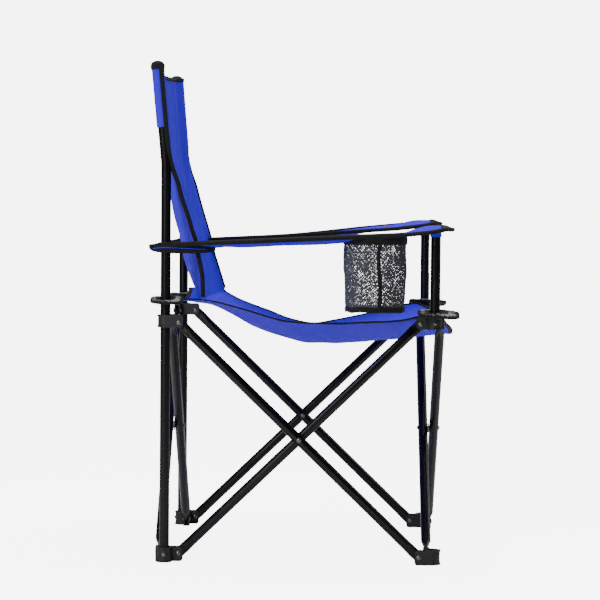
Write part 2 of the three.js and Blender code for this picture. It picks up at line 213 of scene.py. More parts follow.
@named_material("stoved_black_enamel")
def stoved_enamel(tree, shader):
    """Stoved gloss enamel on drawn tube: deep black, sharp lights, a faint orange peel."""
    peel_size = 0.004  # metres between the coat's ripples
    scuff_size = 0.0167  # metres across a patch that handling has dulled
    place = add_node(tree, "ShaderNodeTexCoord").outputs["Object"]
    peel = add_node(
        tree,
        "ShaderNodeTexNoise",
        links=[("Vector", place)],
        inputs=[("Scale", 1 / peel_size), ("Detail", 1.0)],
    )
    scuff = add_node(
        tree,
        "ShaderNodeTexNoise",
        links=[("Vector", place)],
        inputs=[("Scale", 1 / scuff_size), ("Detail", 5.0), ("Roughness", 0.7)],
    )
    bump = add_node(
        tree,
        "ShaderNodeBump",
        links=[("Height", peel.outputs["Fac"])],
        inputs=[("Strength", 0.12), ("Distance", 0.0003)],
    )
    tone = add_node(
        tree,
        "ShaderNodeMix",
        data_type="RGBA",
        links=[(0, scuff.outputs["Fac"])],
        inputs=shades(colours().enamel, 0.7, 1.5),
    )
    rough = add_node(
        tree,
        "ShaderNodeMapRange",
        links=[("Value", scuff.outputs["Fac"])],
        inputs=[("To Min", 0.22), ("To Max", 0.36)],
    )
    finish_shader(
        tree,
        shader,
        {
            "Base Color": tone.outputs[2],
            "Roughness": rough.outputs["Result"],
            "Normal": bump.outputs["Normal"],
        },
        {"IOR": 1.5, "Specular IOR Level": 0.3},
    )


@named_material("moulded_black_nylon")
def moulded_nylon(tree, shader):
    """Injection moulded glass-filled nylon: spark-eroded grain, dull soft lights."""
    grain_size = 0.0012  # metres; the real grain is 0.3 mm, too fine to show
    place = add_node(tree, "ShaderNodeTexCoord").outputs["Object"]
    grain = add_node(
        tree,
        "ShaderNodeTexNoise",
        links=[("Vector", place)],
        inputs=[("Scale", 1 / grain_size), ("Detail", 2.0)],
    )
    bump = add_node(
        tree,
        "ShaderNodeBump",
        links=[("Height", grain.outputs["Fac"])],
        inputs=[("Strength", 0.35), ("Distance", 0.0004)],
    )
    tone = add_node(
        tree,
        "ShaderNodeMix",
        data_type="RGBA",
        links=[(0, grain.outputs["Fac"])],
        inputs=shades(colours().nylon, 0.75, 1.35),
    )
    rough = add_node(
        tree,
        "ShaderNodeMapRange",
        links=[("Value", grain.outputs["Fac"])],
        inputs=[("To Min", 0.42), ("To Max", 0.62)],
    )
    finish_shader(
        tree,
        shader,
        {
            "Base Color": tone.outputs[2],
            "Roughness": rough.outputs["Result"],
            "Normal": bump.outputs["Normal"],
        },
        {"IOR": 1.53},
    )


@named_material("zinc_plated_steel")
def zinc_plate(tree, shader):
    """Zinc-plated steel, headed cold: grey metal with a cloudy passivated skin."""
    cloud_size = 0.002  # metres across a cloud of the plating
    place = add_node(tree, "ShaderNodeTexCoord").outputs["Object"]
    cloud = add_node(
        tree,
        "ShaderNodeTexNoise",
        links=[("Vector", place)],
        inputs=[("Scale", 1 / cloud_size), ("Detail", 3.0)],
    )
    tone = add_node(
        tree,
        "ShaderNodeMix",
        data_type="RGBA",
        links=[(0, cloud.outputs["Fac"])],
        inputs=shades(colours().zinc, 0.6, 1.3),
    )
    rough = add_node(
        tree,
        "ShaderNodeMapRange",
        links=[("Value", cloud.outputs["Fac"])],
        inputs=[("To Min", 0.35), ("To Max", 0.55)],
    )
    finish_shader(
        tree,
        shader,
        {"Base Color": tone.outputs[2], "Roughness": rough.outputs["Result"]},
        {"Metallic": 1.0},
    )


def weave(tree, shader, picked, pitch, depth, low, high, roughness, sheen=0.0):
    """A plain weave: two crossed waves at the thread pitch, over the UV map in metres."""
    cloud_size = 0.0714  # metres across a patch where the dye has taken unevenly
    place = add_node(tree, "ShaderNodeTexCoord").outputs["UV"]
    warp, weft = [
        add_node(
            tree,
            "ShaderNodeTexWave",
            bands_direction=direction,
            links=[("Vector", place)],
            inputs=[("Scale", WAVE_SPACING / pitch), ("Distortion", 0.35), ("Detail", 1.0)],
        )
        for direction in ("X", "Y")
    ]
    threads = add_node(
        tree,
        "ShaderNodeMath",
        operation="MULTIPLY",
        links=[(0, warp.outputs["Fac"]), (1, weft.outputs["Fac"])],
    )
    cloud = add_node(
        tree,
        "ShaderNodeTexNoise",
        links=[("Vector", place)],
        inputs=[("Scale", 1 / cloud_size), ("Detail", 4.0), ("Roughness", 0.6)],
    )
    dye = add_node(
        tree,
        "ShaderNodeMath",
        operation="MULTIPLY",
        links=[(0, cloud.outputs["Fac"])],
        inputs=[(1, 0.6)],
    )
    both = add_node(
        tree,
        "ShaderNodeMath",
        operation="MULTIPLY_ADD",
        links=[(0, threads.outputs[0]), (2, dye.outputs[0])],
        inputs=[(1, 0.55)],
    )
    bump = add_node(
        tree,
        "ShaderNodeBump",
        links=[("Height", threads.outputs[0])],
        inputs=[("Strength", 0.5), ("Distance", depth)],
    )
    tone = add_node(
        tree,
        "ShaderNodeMix",
        data_type="RGBA",
        links=[(0, both.outputs[0])],
        inputs=shades(picked, low, high),
    )
    rough = add_node(
        tree,
        "ShaderNodeMapRange",
        links=[("Value", threads.outputs[0])],
        inputs=[("To Min", roughness + 0.08), ("To Max", roughness - 0.06)],
    )
    finish_shader(
        tree,
        shader,
        {
            "Base Color": tone.outputs[2],
            "Roughness": rough.outputs["Result"],
            "Normal": bump.outputs["Normal"],
        },
        {"Sheen Weight": sheen, "Sheen Roughness": 0.5, "Specular IOR Level": 0.3},
    )


@named_material("blue_coated_polyester")
def coated_polyester(tree, shader):
    """Plain-weave polyester, dyed and back-coated: flat royal blue with fine threads, no shine."""
    # threads are 0.5 mm apart; they are drawn 1.6 mm apart so that they show
    weave(tree, shader, colours().cloth, 0.0016, 0.0003, 0.78, 1.12, 0.72)


@named_material("black_woven_tape")
def woven_tape(tree, shader):
    """Polypropylene tape woven in a rib: matt black with a coarse cross rib."""
    # ribs are 1 mm apart; they are drawn 2 mm apart so that they show
    weave(tree, shader, colours().tape, 0.002, 0.0005, 0.7, 1.6, 0.8, sheen=0.06)


@named_material("black_knitted_net")
def knitted_net(tree, shader):
    """Knitted polyester net: dull dark grey thread, twisted 1 mm a turn."""
    weave(tree, shader, colours().net, 0.001, 0.0002, 0.8, 1.5, 0.6)


@named_material("sewing_thread_painted_sheen")
def thread_painted_sheen(tree, shader):
    """Spun polyester sewing thread: light grey and matt, twisted 1 mm a turn."""
    weave(tree, shader, colours().thread, 0.001, 0.0002, 0.8, 1.1, 0.75, sheen=0.2)


@named_material("pale_painted_floor")
def painted_floor(tree, shader):
    """Rolled matt paint on a studio floor: near white, with hardly any shine or pattern."""
    cloud_size = 0.667  # metres across a patch of the roller's coat
    place = add_node(tree, "ShaderNodeTexCoord").outputs["Object"]
    cloud = add_node(
        tree,
        "ShaderNodeTexNoise",
        links=[("Vector", place)],
        inputs=[("Scale", 1 / cloud_size), ("Detail", 2.0)],
    )
    tone = add_node(
        tree,
        "ShaderNodeMix",
        data_type="RGBA",
        links=[(0, cloud.outputs["Fac"])],
        inputs=shades(colours().floor, 0.99, 1.0),
    )
    # seen straight, the floor glows pale; it throws none of that light on the chair
    seen = add_node(tree, "ShaderNodeLightPath").outputs["Is Camera Ray"]
    glow = add_node(
        tree,
        "ShaderNodeMapRange",
        links=[("Value", seen)],
        inputs=[("To Min", 0.0), ("To Max", FLOOR_GLOW)],
    )
    finish_shader(
        tree,
        shader,
        {"Base Color": tone.outputs[2], "Emission Strength": glow.outputs["Result"]},
        {"Roughness": 0.9, "Specular IOR Level": 0.1, "Emission Color": (1, 1, 1, 1)},
    )


# ---- mesh helpers ----
SURFACE_STEP = 1e-3  # share of a surface between the places that give its slope


def smooth(value, start, end):
    t = min(1.0, max(0.0, (value - start) / (end - start)))
    return t * t * (3 - 2 * t)


def curve(points):
    """A smooth function through (place, value) points, in rising order of place."""
    places = [p[0] for p in points]
    values = [p[1] for p in points]
    count = len(points)
    slopes = []
    for i in range(count):
        a, b = max(0, i - 1), min(count - 1, i + 1)
        slopes.append((values[b] - values[a]) / (places[b] - places[a]))

    def at(place):
        place = min(places[-1], max(places[0], place))
        i = max(0, min(count - 2, sum(p <= place for p in places) - 1))
        width = places[i + 1] - places[i]
        t = (place - places[i]) / width
        rise = values[i] * (1 + 2 * t) * (1 - t) ** 2 + values[i + 1] * t * t * (3 - 2 * t)
        return rise + width * (slopes[i] * t * (1 - t) ** 2 + slopes[i + 1] * t * t * (t - 1))

    return at


def new_piece(name, points, faces, material, uvs=None, sharp_deg=40):
    """A mesh object from points and faces, smooth but for its sharp edges."""
    mesh = bpy.data.meshes.new(name)
    mesh.from_pydata([tuple(p) for p in points], [], faces)
    mesh.update()
    mesh.validate()
    layer = mesh.uv_layers.new(name="Weave")
    if uvs is not None:
        for loop in mesh.loops:
            layer.data[loop.index].uv = uvs[loop.vertex_index]
    mesh.polygons.foreach_set("use_smooth", [True] * len(mesh.polygons))
    mesh.set_sharp_from_angle(angle=math.radians(sharp_deg))
    mesh.materials.append(material)
    made = bpy.data.objects.new(name, mesh)
    bpy.context.scene.collection.objects.link(made)
    return made


def cloth_sheet(name, surface, across, along, material, thickness=None):
    """A thin closed sheet over surface(s, t), with s and t as lists of values."""
    thick = sizes().cloth_thickness if thickness is None else thickness
    step = SURFACE_STEP
    middle_points, normals, uvs = [], [], []
    for t in along:
        for s in across:
            p = np.array(surface(s, t))
            ds = np.array(surface(s + step, t)) - np.array(surface(s - step, t))
            dt = np.array(surface(s, t + step)) - np.array(surface(s, t - step))
            n = np.cross(ds, dt)
            length = np.linalg.norm(n)
            normals.append(n / length if length > 1e-12 else np.array([0, 0, 1.0]))
            middle_points.append(p)
    middle_points, normals = np.array(middle_points), np.array(normals)
    count, rows, columns = len(middle_points), len(along), len(across)
    grid = middle_points.reshape(rows, columns, 3)
    widths = np.linalg.norm(np.diff(grid, axis=1), axis=2).cumsum(axis=1)
    heights = np.linalg.norm(np.diff(grid, axis=0), axis=2).cumsum(axis=0)
    for r in range(rows):
        for c in range(columns):
            u = widths[r][c - 1] if c else 0.0
            v = heights[r - 1][c] if r else 0.0
            uvs.append((u - widths[r][-1] / 2, v))
    points = np.vstack([middle_points + normals * thick / 2, middle_points - normals * thick / 2])
    faces = []
    for r in range(rows - 1):
        for c in range(columns - 1):
            a = r * columns + c
            quad = (a, a + 1, a + 1 + columns, a + columns)
            faces.append(quad)
            faces.append(tuple(count + i for i in reversed(quad)))
    edge = list(range(columns))
    edge += [r * columns + columns - 1 for r in range(1, rows)]
    edge += [(rows - 1) * columns + c for c in range(columns - 2, -1, -1)]
    edge += [r * columns for r in range(rows - 2, 0, -1)]
    for a, b in zip(edge, edge[1:] + edge[:1]):
        faces.append((b, a, a + count, b + count))
    return new_piece(name, points, faces, material, uvs + uvs)


def sweep(name, path, section, material, up=None, closed=False, grow=None, grow_both=False):
    """A section of (side, up) points along a path.

    up(i) gives the up direction at a point of the path. grow(i) scales the section's height
    there, and its width too with grow_both.
    """
    path = [Vector(p) for p in path]
    count, sides = len(path), len(section)
    points, uvs = [], []
    run = 0.0
    last = None
    for i, p in enumerate(path):
        if closed:
            ahead = path[(i + 1) % count] - path[i - 1]
        else:
            ahead = path[min(i + 1, count - 1)] - path[max(i - 1, 0)]
        ahead.normalize()
        rise = Vector(up(i)) if up else (last or ahead.orthogonal())
        side = ahead.cross(rise).normalized()
        rise = side.cross(ahead).normalized()
        last = rise
        run += (p - path[i - 1]).length if i else 0.0
        height = grow(i) if grow else 1.0
        for k, (a, b) in enumerate(section):
            points.append(p + side * a * (height if grow_both else 1) + rise * b * height)
            uvs.append((run, 0.004 * k))
    faces = []
    for i in range(count if closed else count - 1):
        j = (i + 1) % count
        for k in range(sides):
            m = (k + 1) % sides
            faces.append((i * sides + k, i * sides + m, j * sides + m, j * sides + k))
    if not closed:
        faces.append(tuple(reversed(range(sides))))
        faces.append(tuple((count - 1) * sides + k for k in range(sides)))
    return new_piece(name, points, faces, material, uvs, sharp_deg=60)


def flat_section(width, thickness, steps=12):
    """A rounded flat section, as tape folded over an edge has."""
    made = []
    for k in range(steps):
        angle = 2 * math.pi * k / steps
        c, s = math.cos(angle), math.sin(angle)
        made.append((math.copysign(abs(c) ** 0.7, c) * width / 2,
                     math.copysign(abs(s) ** 0.7, s) * thickness / 2))
    return made


def round_section(radius, steps=28):
    return [(radius * math.cos(2 * math.pi * k / steps), radius * math.sin(2 * math.pi * k / steps))
            for k in range(steps)]


def along_edge(surface, s_values, t_values):
    """Points and normals of a surface along an edge."""
    step = SURFACE_STEP
    path, ups = [], []
    for s, t in zip(s_values, t_values):
        p = Vector(surface(s, t))
        ds = Vector(surface(s + step, t)) - Vector(surface(s - step, t))
        dt = Vector(surface(s, t + step)) - Vector(surface(s, t - step))
        path.append(p)
        n = ds.cross(dt)
        ups.append(n.normalized() if n.length > 1e-12 else Vector((0, 0, 1)))
    return path, ups


def ripple(x, y, z, scale, seed):
    """Soft noise from -1 to 1 at a place."""
    return noise.noise(Vector((x * scale + seed, y * scale - seed, z * scale + 2 * seed)))


def spaced(start, end, count):
    return [start + (end - start) * i / (count - 1) for i in range(count)]


# ---- shapes shared by the cloth pieces ----
SEAT_CORNER = HALF - 0.0135  # the blue cloth's corner, under the patch
PATCH_HOLE_RADIUS = 0.0093  # clears a post

# heights of the slung seat from rear to front, at its right edge, its middle and its left edge
SEAT_RIGHT = curve([
    (-0.230, 0.4215), (-0.158, 0.4205), (-0.129, 0.416), (-0.086, 0.4048), (-0.052, 0.3946),
    (-0.021, 0.3875), (0.048, 0.3850), (0.109, 0.3872), (0.162, 0.3905), (0.200, 0.3985),
    (0.250, 0.4000),
])
SEAT_MIDDLE = curve([
    (-0.230, 0.4160), (-0.172, 0.4085), (-0.143, 0.4020), (-0.087, 0.3710), (-0.044, 0.3560),
    (0.000, 0.3425), (0.051, 0.3405), (0.083, 0.3415), (0.115, 0.3450), (0.164, 0.3495),
    (0.220, 0.3560), (0.250, 0.3590),
])
SEAT_LEFT = curve([
    (-0.230, 0.4240), (-0.150, 0.4220), (-0.113, 0.4048), (-0.058, 0.3845), (-0.024, 0.3718),
    (0.017, 0.3643), (0.054, 0.3700), (0.110, 0.3814), (0.170, 0.3965), (0.200, 0.4010),
    (0.250, 0.4020),
])


def side_frame(index):
    """Unit vectors of a side: (along it, outward), for right, front, left and rear."""
    angle = math.pi / 2 * index
    along = Vector((math.cos(angle), math.sin(angle), 0))
    return along, Vector((along.y, -along.x, 0))


def seat_height(x, y):
    """The slung seat: a trough from rear to front, held up at its sides."""
    side = SEAT_RIGHT(x) if y < 0 else SEAT_LEFT(x)
    across = min(1.0, abs(y) / SEAT_CORNER)
    height = SEAT_MIDDLE(x) + (side - SEAT_MIDDLE(x)) * across**1.5
    edge = max(abs(x), abs(y)) / HALF
    wrinkle = ripple(x, y, 0, 12, 3.1) + 0.6 * ripple(x, y * 0.4, 0, 34, 7.7)
    return height + sizes().wrinkle_depth * wrinkle * max(0.0, min(1.0, 4 * (1 - edge)))


def seat_surface(index):
    """(s, t) to a point: s from -1 to 1 along the side, t from 0 at the edge to 1 at the middle."""
    along, outward = side_frame(index)
    swell = {"right": -0.002, "front": 0.047, "left": -0.002, "rear": -0.004}[SIDES[index]]

    def at(s, t):
        reach = 1 - t
        out = SEAT_CORNER + swell * (1 - abs(s) ** 3.5)
        p = (along * s * SEAT_CORNER + outward * out) * reach
        return (p.x, p.y, seat_height(p.x, p.y))

    return at


# how far the back's cloth stands ahead of the rear posts' foot line, by height
BACK_RIGHT = curve([
    (0.400, 0.0600), (0.425, 0.0598), (0.454, 0.0588), (0.474, 0.0558), (0.492, 0.0517),
    (0.515, 0.0475), (0.533, 0.0415), (0.557, 0.0344), (0.585, 0.0245), (0.628, 0.0143),
    (0.648, 0.0081), (0.670, 0.0030), (0.700, 0.0002), (0.747, -0.0051), (0.793, -0.0109),
])
BACK_LEFT = curve([
    (0.395, 0.0840), (0.415, 0.0775), (0.425, 0.0725), (0.457, 0.0625), (0.485, 0.0535),
    (0.510, 0.0480), (0.555, 0.0345), (0.586, 0.0255), (0.608, 0.0200), (0.648, 0.0120),
    (0.673, 0.0100), (0.730, 0.0040), (0.793, -0.0070),
])
BACK_MIDDLE = curve([
    (0.400, 0.0480), (0.408, 0.0440), (0.427, 0.0405), (0.444, 0.0325), (0.464, 0.0245),
    (0.483, 0.0180), (0.520, 0.0105), (0.552, 0.0015), (0.580, -0.0035), (0.627, -0.0070),
    (0.700, -0.0140), (0.798, -0.0220),
])
SLEEVE_RADIUS = 0.0104
WRAP_START = 0.94  # share of the half width where the cloth starts to go round a post


def post_x(z):
    """The middle line of a rear post at a height."""
    lean = max(0.0, z - BEND_HEIGHT)
    return -HALF - lean * BACK_LEAN


def back_surface(s, t):
    """(s, t) to a point: s from -1 to 1 across, t from 0 at the seat to 1 at the top edge.

    High up, each side goes round the front of its post; lower down it hangs ahead of the post.
    """
    profile = BACK_RIGHT if s < 0 else BACK_LEFT
    across = min(1.0, abs(s) / WRAP_START)
    inside = HALF - 0.0095
    foot_x = -HALF + BACK_MIDDLE(0.405) + (profile(0.42) - BACK_MIDDLE(0.405)) * across**2.4
    bottom = seat_height(foot_x, s * inside) + 0.0006
    top = POST_TOP - 0.003 - 0.006 * (1 - s * s)
    z = bottom + (top - bottom) * t
    high = smooth(z, 0.60, 0.69)
    side = profile(z) * (1 - high) + (post_x(z) + HALF + 0.0074) * high
    x = -HALF + BACK_MIDDLE(z) + (side - BACK_MIDDLE(z)) * across**2.4
    inner = 1 - across**8
    streak = 0.55 * math.sin(19 * s + 3.0 * t) + 0.45 * math.sin(33 * s - 2.0 * t + 1)
    x += 0.0014 * streak * inner * smooth(t, 0.0, 0.2)
    x += 1.5 * sizes().wrinkle_depth * ripple(s, t * 0.6, 0.3, 3.3, 5.0) * inner
    x += 0.009 * high * math.exp(-((abs(s) - 0.85) / 0.07) ** 2) * (1 if s > 0 else 0.35)
    y = min(1.0, abs(s) / WRAP_START) * inside
    past = max(0.0, (abs(s) - WRAP_START) / (1 - WRAP_START))
    if past > 0:
        flat_x, flat_y = x, inside + 0.007 * past
        turn = math.radians(45 + 100 * past)
        round_x = post_x(z) + SLEEVE_RADIUS * math.sin(turn)
        round_y = HALF - SLEEVE_RADIUS * math.cos(turn)
        x = flat_x * (1 - high) + round_x * high
        y = flat_y * (1 - high) + round_y * high
    return (x, math.copysign(y, s), z)


ARM_WIDE = 0.048
ARM_FRONT_HEIGHT = ARM_POST_TOP + 0.0016
ARM_START = -HALF + 0.012
ARM_END = HALF + 0.0265


def arm_surface(inward):
    """(s, t) to a point of an arm: s from -1 outside to 1 inside, t from 0 at the rear to 1 in front.

    inward is 1 for the right arm, whose inner side is at +Y, and -1 for the left.
    """
    lift = 0.0 if inward > 0 else 0.006

    def at(s, t):
        x = ARM_START + (ARM_END - ARM_START) * t
        run = max(0.0, min(1.0, (x + HALF) / (2 * HALF)))
        edge = 0.5085 + 0.0215 * run + lift * smooth(run, 0.3, 1.0)
        outer = 0.0145 + (ARM_WIDE - 0.0145) * smooth(x, -HALF + 0.02, -HALF + 0.16)
        inner = 0.0145 + (ARM_WIDE - 0.0145) * smooth(x, -HALF + 0.08, -HALF + 0.17)
        nose = math.sqrt(max(0.0, 1 - max(0.0, (x - HALF + 0.020) / 0.0467) ** 2))
        y = s * (inner if s > 0 else outer) * nose
        middle_share = 1 - (s * nose) ** 2
        sag = 0.0085 * smooth(run, 0.02, 0.3) * (1 - smooth(run, 0.62, 0.9))
        dome = 0.0115 * smooth(x, HALF - 0.065, HALF - 0.008)
        z = edge - sag * middle_share + dome * (0.20 + 0.80 * middle_share)
        if inward < 0:
            z += 0.003 * (1 - s) * smooth(run, 0.4, 0.9) * (1 - smooth(run, 0.9, 1.0))
        z -= 0.006 * smooth(x, HALF + 0.012, ARM_END + 0.006)
        tame = (1 - abs(s) ** 4) * min(1, 8 * t)
        z += sizes().wrinkle_depth * ripple(x, y, 0, 20, 2.2) * tame
        return (x, -inward * HALF + inward * y, z)

    return at


def arm_squash(piece, body):
    """The arm shortens and tips up along the line its front post moves on."""
    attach(piece, body)
    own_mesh(piece)


# ---- the pieces ----
def finish_cad(node, material, bevel=0.0004):
    """Rounds a CAD node's edges and gives it its material."""
    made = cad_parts[node]
    mesh = made.data
    mesh.polygons.foreach_set("use_smooth", [True] * len(mesh.polygons))
    for attribute in ("custom_normal", "sharp_face", "sharp_edge"):
        found = mesh.attributes.get(attribute)
        if found:
            mesh.attributes.remove(found)
    weld = made.modifiers.new("Weld", "WELD")
    weld.merge_threshold = 1e-5
    rounded = made.modifiers.new("Rounded edges", "BEVEL")
    rounded.width = bevel
    rounded.segments = 2
    rounded.limit_method = "ANGLE"
    rounded.angle_limit = math.radians(38)
    rounded.harden_normals = True
    mesh.materials.clear()
    mesh.materials.append(material)
    return made


def apply_modifiers(piece):
    graph = bpy.context.evaluated_depsgraph_get()
    piece.data = bpy.data.meshes.new_from_object(piece.evaluated_get(graph), depsgraph=graph)
    piece.modifiers.clear()


def cut_hole(piece, place, radius):
    """Cuts a round upright hole through a piece."""
    bpy.ops.mesh.primitive_cylinder_add(vertices=64, radius=radius, depth=0.08, location=place)
    cutter = bpy.context.object
    cutting = piece.modifiers.new("Hole", "BOOLEAN")
    cutting.operation = "DIFFERENCE"
    cutting.object = cutter
    cutting.solver = "EXACT"
    apply_modifiers(piece)
    bpy.data.objects.remove(cutter)
    piece.data.polygons.foreach_set("use_smooth", [True] * len(piece.data.polygons))
    piece.data.set_sharp_from_angle(angle=math.radians(40))


class CAMPCHAIR_OT_frame_finish(bpy.types.Operator):
    """Round the edges of the tubes, corners and rivets, and give them their materials"""

    bl_idname = "camp_chair.frame_finish"
    bl_label = "Tubes, corners and rivets"

    def execute(self, context):
        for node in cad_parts:
            if "rivet" in node or "washer" in node or node.endswith("_pin"):
                finish_cad(node, zinc_plate(), 0.0003)
            elif "tube" in node or node.endswith("_post"):
                finish_cad(node, stoved_enamel(), 0.0003)
            elif any(word in node for word in ("foot", "slider", "bracket")):
                finish_cad(node, moulded_nylon(), 0.0006)
        return {"FINISHED"}


class CAMPCHAIR_OT_seat(bpy.types.Operator):
    """Sew the slung seat: four quarters that fold, bound along the sides"""

    bl_idname = "camp_chair.seat"
    bl_label = "Seat"

    def execute(self, context):
        for index, side in enumerate(SIDES):
            surface = seat_surface(index)
            quarter = cloth_sheet(
                f"seat_cloth_{side}",
                surface,
                spaced(-1, 1, 65),
                spaced(0, 0.9995, 34),
                coated_polyester(),
            )
            path, ups = along_edge(surface, spaced(-1, 1, 60), [0.0] * 60)
            edge = sweep(
                f"seat_binding_{side}",
                path,
                flat_section(sizes().binding_width, 0.0026),
                woven_tape(),
                lambda i: ups[i],
            )
            for piece in (quarter, edge):
                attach(piece, f"seat_{side}")
                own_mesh(piece)
            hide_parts(f"seat_{side}")
        return {"FINISHED"}


def patch(name, corner, carrier, low, high, level):
    """A doubled tape patch round a post, with a ring of zigzag stitching.

    low and high are how far it reaches from the post, back and in, and forward and out.
    """
    steps = 48
    centre = Vector((corner.x + (high[0] - low[0]) / 2,
                     corner.y + math.copysign((high[1] - low[1]) / 2, corner.y), 0))
    half_size = ((low[0] + high[0]) / 2, (low[1] + high[1]) / 2)
    outline, hole = [], []
    for step in range(steps):
        c, s = math.cos(2 * math.pi * step / steps), math.sin(2 * math.pi * step / steps)
        outline.append(centre + Vector((math.copysign(abs(c) ** 0.62, c) * half_size[0],
                                        math.copysign(abs(s) ** 0.62, s) * half_size[1], 0)))
        hole.append(corner + Vector((c, s, 0)) * PATCH_HOLE_RADIUS)

    def height(place):
        """The patch droops ahead of its post and outside it."""
        ahead = max(0.0, place.x - HALF - 0.010)
        outside = max(0.0, abs(place.y) - HALF + 0.006)
        wave = 0.0012 * ripple(place.x, place.y, 0, 70, 3)
        return level - 0.10 * ahead - 0.24 * outside + wave

    rings, points, uvs = 7, [], []
    for face in (1, -1):
        for ring in range(rings):
            share = ring / (rings - 1)
            thinned = max(0.0, (share - 0.8) / 0.2)
            half_thickness = 0.0016 * (1 - 0.5 * thinned**2)
            for step in range(steps):
                place = hole[step].lerp(outline[step], share)
                points.append((place.x, place.y, height(place) + face * half_thickness))
                uvs.append((place.x, place.y))
    faces, under, last = [], rings * steps, (rings - 1) * steps
    for step in range(steps):
        after = (step + 1) % steps
        for ring in range(rings - 1):
            a, b = ring * steps + step, ring * steps + after
            faces.append((b, a, a + steps, b + steps))
            faces.append((under + a, under + b, under + b + steps, under + a + steps))
        faces.append((step, after, under + after, under + step))
        faces.append((last + after, last + step, under + last + step, under + last + after))
    made = new_piece(name, points, faces, woven_tape(), uvs)

    # real zigzag stitches, drawn light grey: painted highlight for the sheen of the black tape
    stitches = []
    for step in range(steps):
        place = hole[step].lerp(outline[step], 0.86 if step % 2 else 0.45)
        stitches.append((place.x, place.y, height(place) + 0.0021))
    sewn = sweep(name + "_stitching", stitches, round_section(0.0008, 6), thread_painted_sheen(),
                 lambda i: (0, 0, 1), closed=True)
    rim = sweep(name + "_rim", [(place.x, place.y, height(place)) for place in outline],
                flat_section(0.0042, 0.0036), woven_tape(), lambda i: (0, 0, 1), closed=True)
    for piece in (made, sewn, rim):
        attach(piece, carrier)


class CAMPCHAIR_OT_patches(bpy.types.Operator):
    """Double the seat's corners with black tape and zigzag stitching"""

    bl_idname = "camp_chair.patches"
    bl_label = "Corner patches"

    def execute(self, context):
        places = [(-1, -1), (1, -1), (1, 1), (-1, 1)]
        for (sx, sy), carrier in zip(places, CARRIERS):
            corner = Vector((sx * HALF, sy * HALF, 0))
            if sx < 0:
                level = 0.4235 if sy < 0 else 0.4130
                patch(carrier + "_patch", corner, carrier, (0.022, 0.026), (0.027, 0.019), level)
            else:
                patch(carrier + "_patch", corner, carrier, (0.026, 0.030), (0.037, 0.019), 0.4060)
        return {"FINISHED"}


class CAMPCHAIR_OT_back(bpy.types.Operator):
    """Hang the back between the rear posts, bound all round, with a sleeve over each post"""

    bl_idname = "camp_chair.back"
    bl_label = "Back"

    def execute(self, context):
        cloth = cloth_sheet("back_cloth", back_surface, spaced(-1, 1, 90), spaced(0, 1, 110),
                            coated_polyester())
        count = 90
        bands = []
        for name, s_end in (("right", -1.0), ("left", 1.0)):
            path = [back_surface(s_end, t) for t in spaced(0.012, 1, count)]
            path = [(x, y + s_end * 0.0008, z) for x, y, z in path]
            bands.append(sweep(f"back_binding_{name}", path, flat_section(0.0072, 0.0030),
                               woven_tape(), lambda i: (0, 1, 0)))
        top_path = [Vector(back_surface(s, 1)) for s in spaced(-1, 1, count)]
        bands.append(sweep("back_binding_top", top_path, flat_section(0.0034, 0.0075),
                           woven_tape(), lambda i: (0, 0, 1)))
        seam_path = [Vector(back_surface(s, 0)) + Vector((0, 0, 0.0012))
                     for s in spaced(-0.95, 0.95, count)]
        bands.append(sweep("back_seat_seam", seam_path, flat_section(0.0022, 0.0022),
                           coated_polyester(), lambda i: (0, 0, 1)))
        for piece in [cloth] + bands:
            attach(piece, "right_rear_leg")
            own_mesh(piece)
        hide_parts("back_panel")
        sleeves = []
        for side, sign in (("right", -1), ("left", 1)):
            cap_heights = spaced(POST_TOP - 0.009, POST_TOP + 0.0044, 10)
            heights = spaced(SLEEVE_LOW, POST_TOP - 0.002, 18)
            path = [(post_x(z), sign * HALF, z) for z in heights]
            sleeve = sweep(f"{side}_sleeve_cloth", path, round_section(0.0099, 40),
                           coated_polyester())
            cap = sweep(
                f"{side}_sleeve_cap",
                [(post_x(z), sign * HALF, z) for z in cap_heights],
                round_section(0.0112, 40),
                woven_tape(),
                grow=lambda i: math.sqrt(1 - (i / 9.3) ** 4),
                grow_both=True,
            )
            for piece in (sleeve, cap):
                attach(piece, f"{side}_rear_leg")
            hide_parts(f"{side}_back_sleeve")
            sleeves += [sleeve, cap]
        return {"FINISHED"}


def strap_path(centre_y):
    """The tape that ties an arm round its rear post, with its height at each point as a share."""
    steps = 72
    path, heights = [], []
    for step in range(steps):
        angle = 2 * math.pi * step / steps
        forward, back = max(0.0, math.cos(angle)), max(0.0, -math.cos(angle))
        path.append((
            -HALF - 0.0115 * back * 2.1 + 0.078 * forward,
            centre_y + (0.0135 - 0.002 * forward) * math.sin(angle),
            0.5040 - 0.001 * forward + 0.0008 * math.sin(3 * angle),
        ))
        heights.append(1.0 - 0.62 * back**2 - 0.55 * forward**3)
    return path, heights


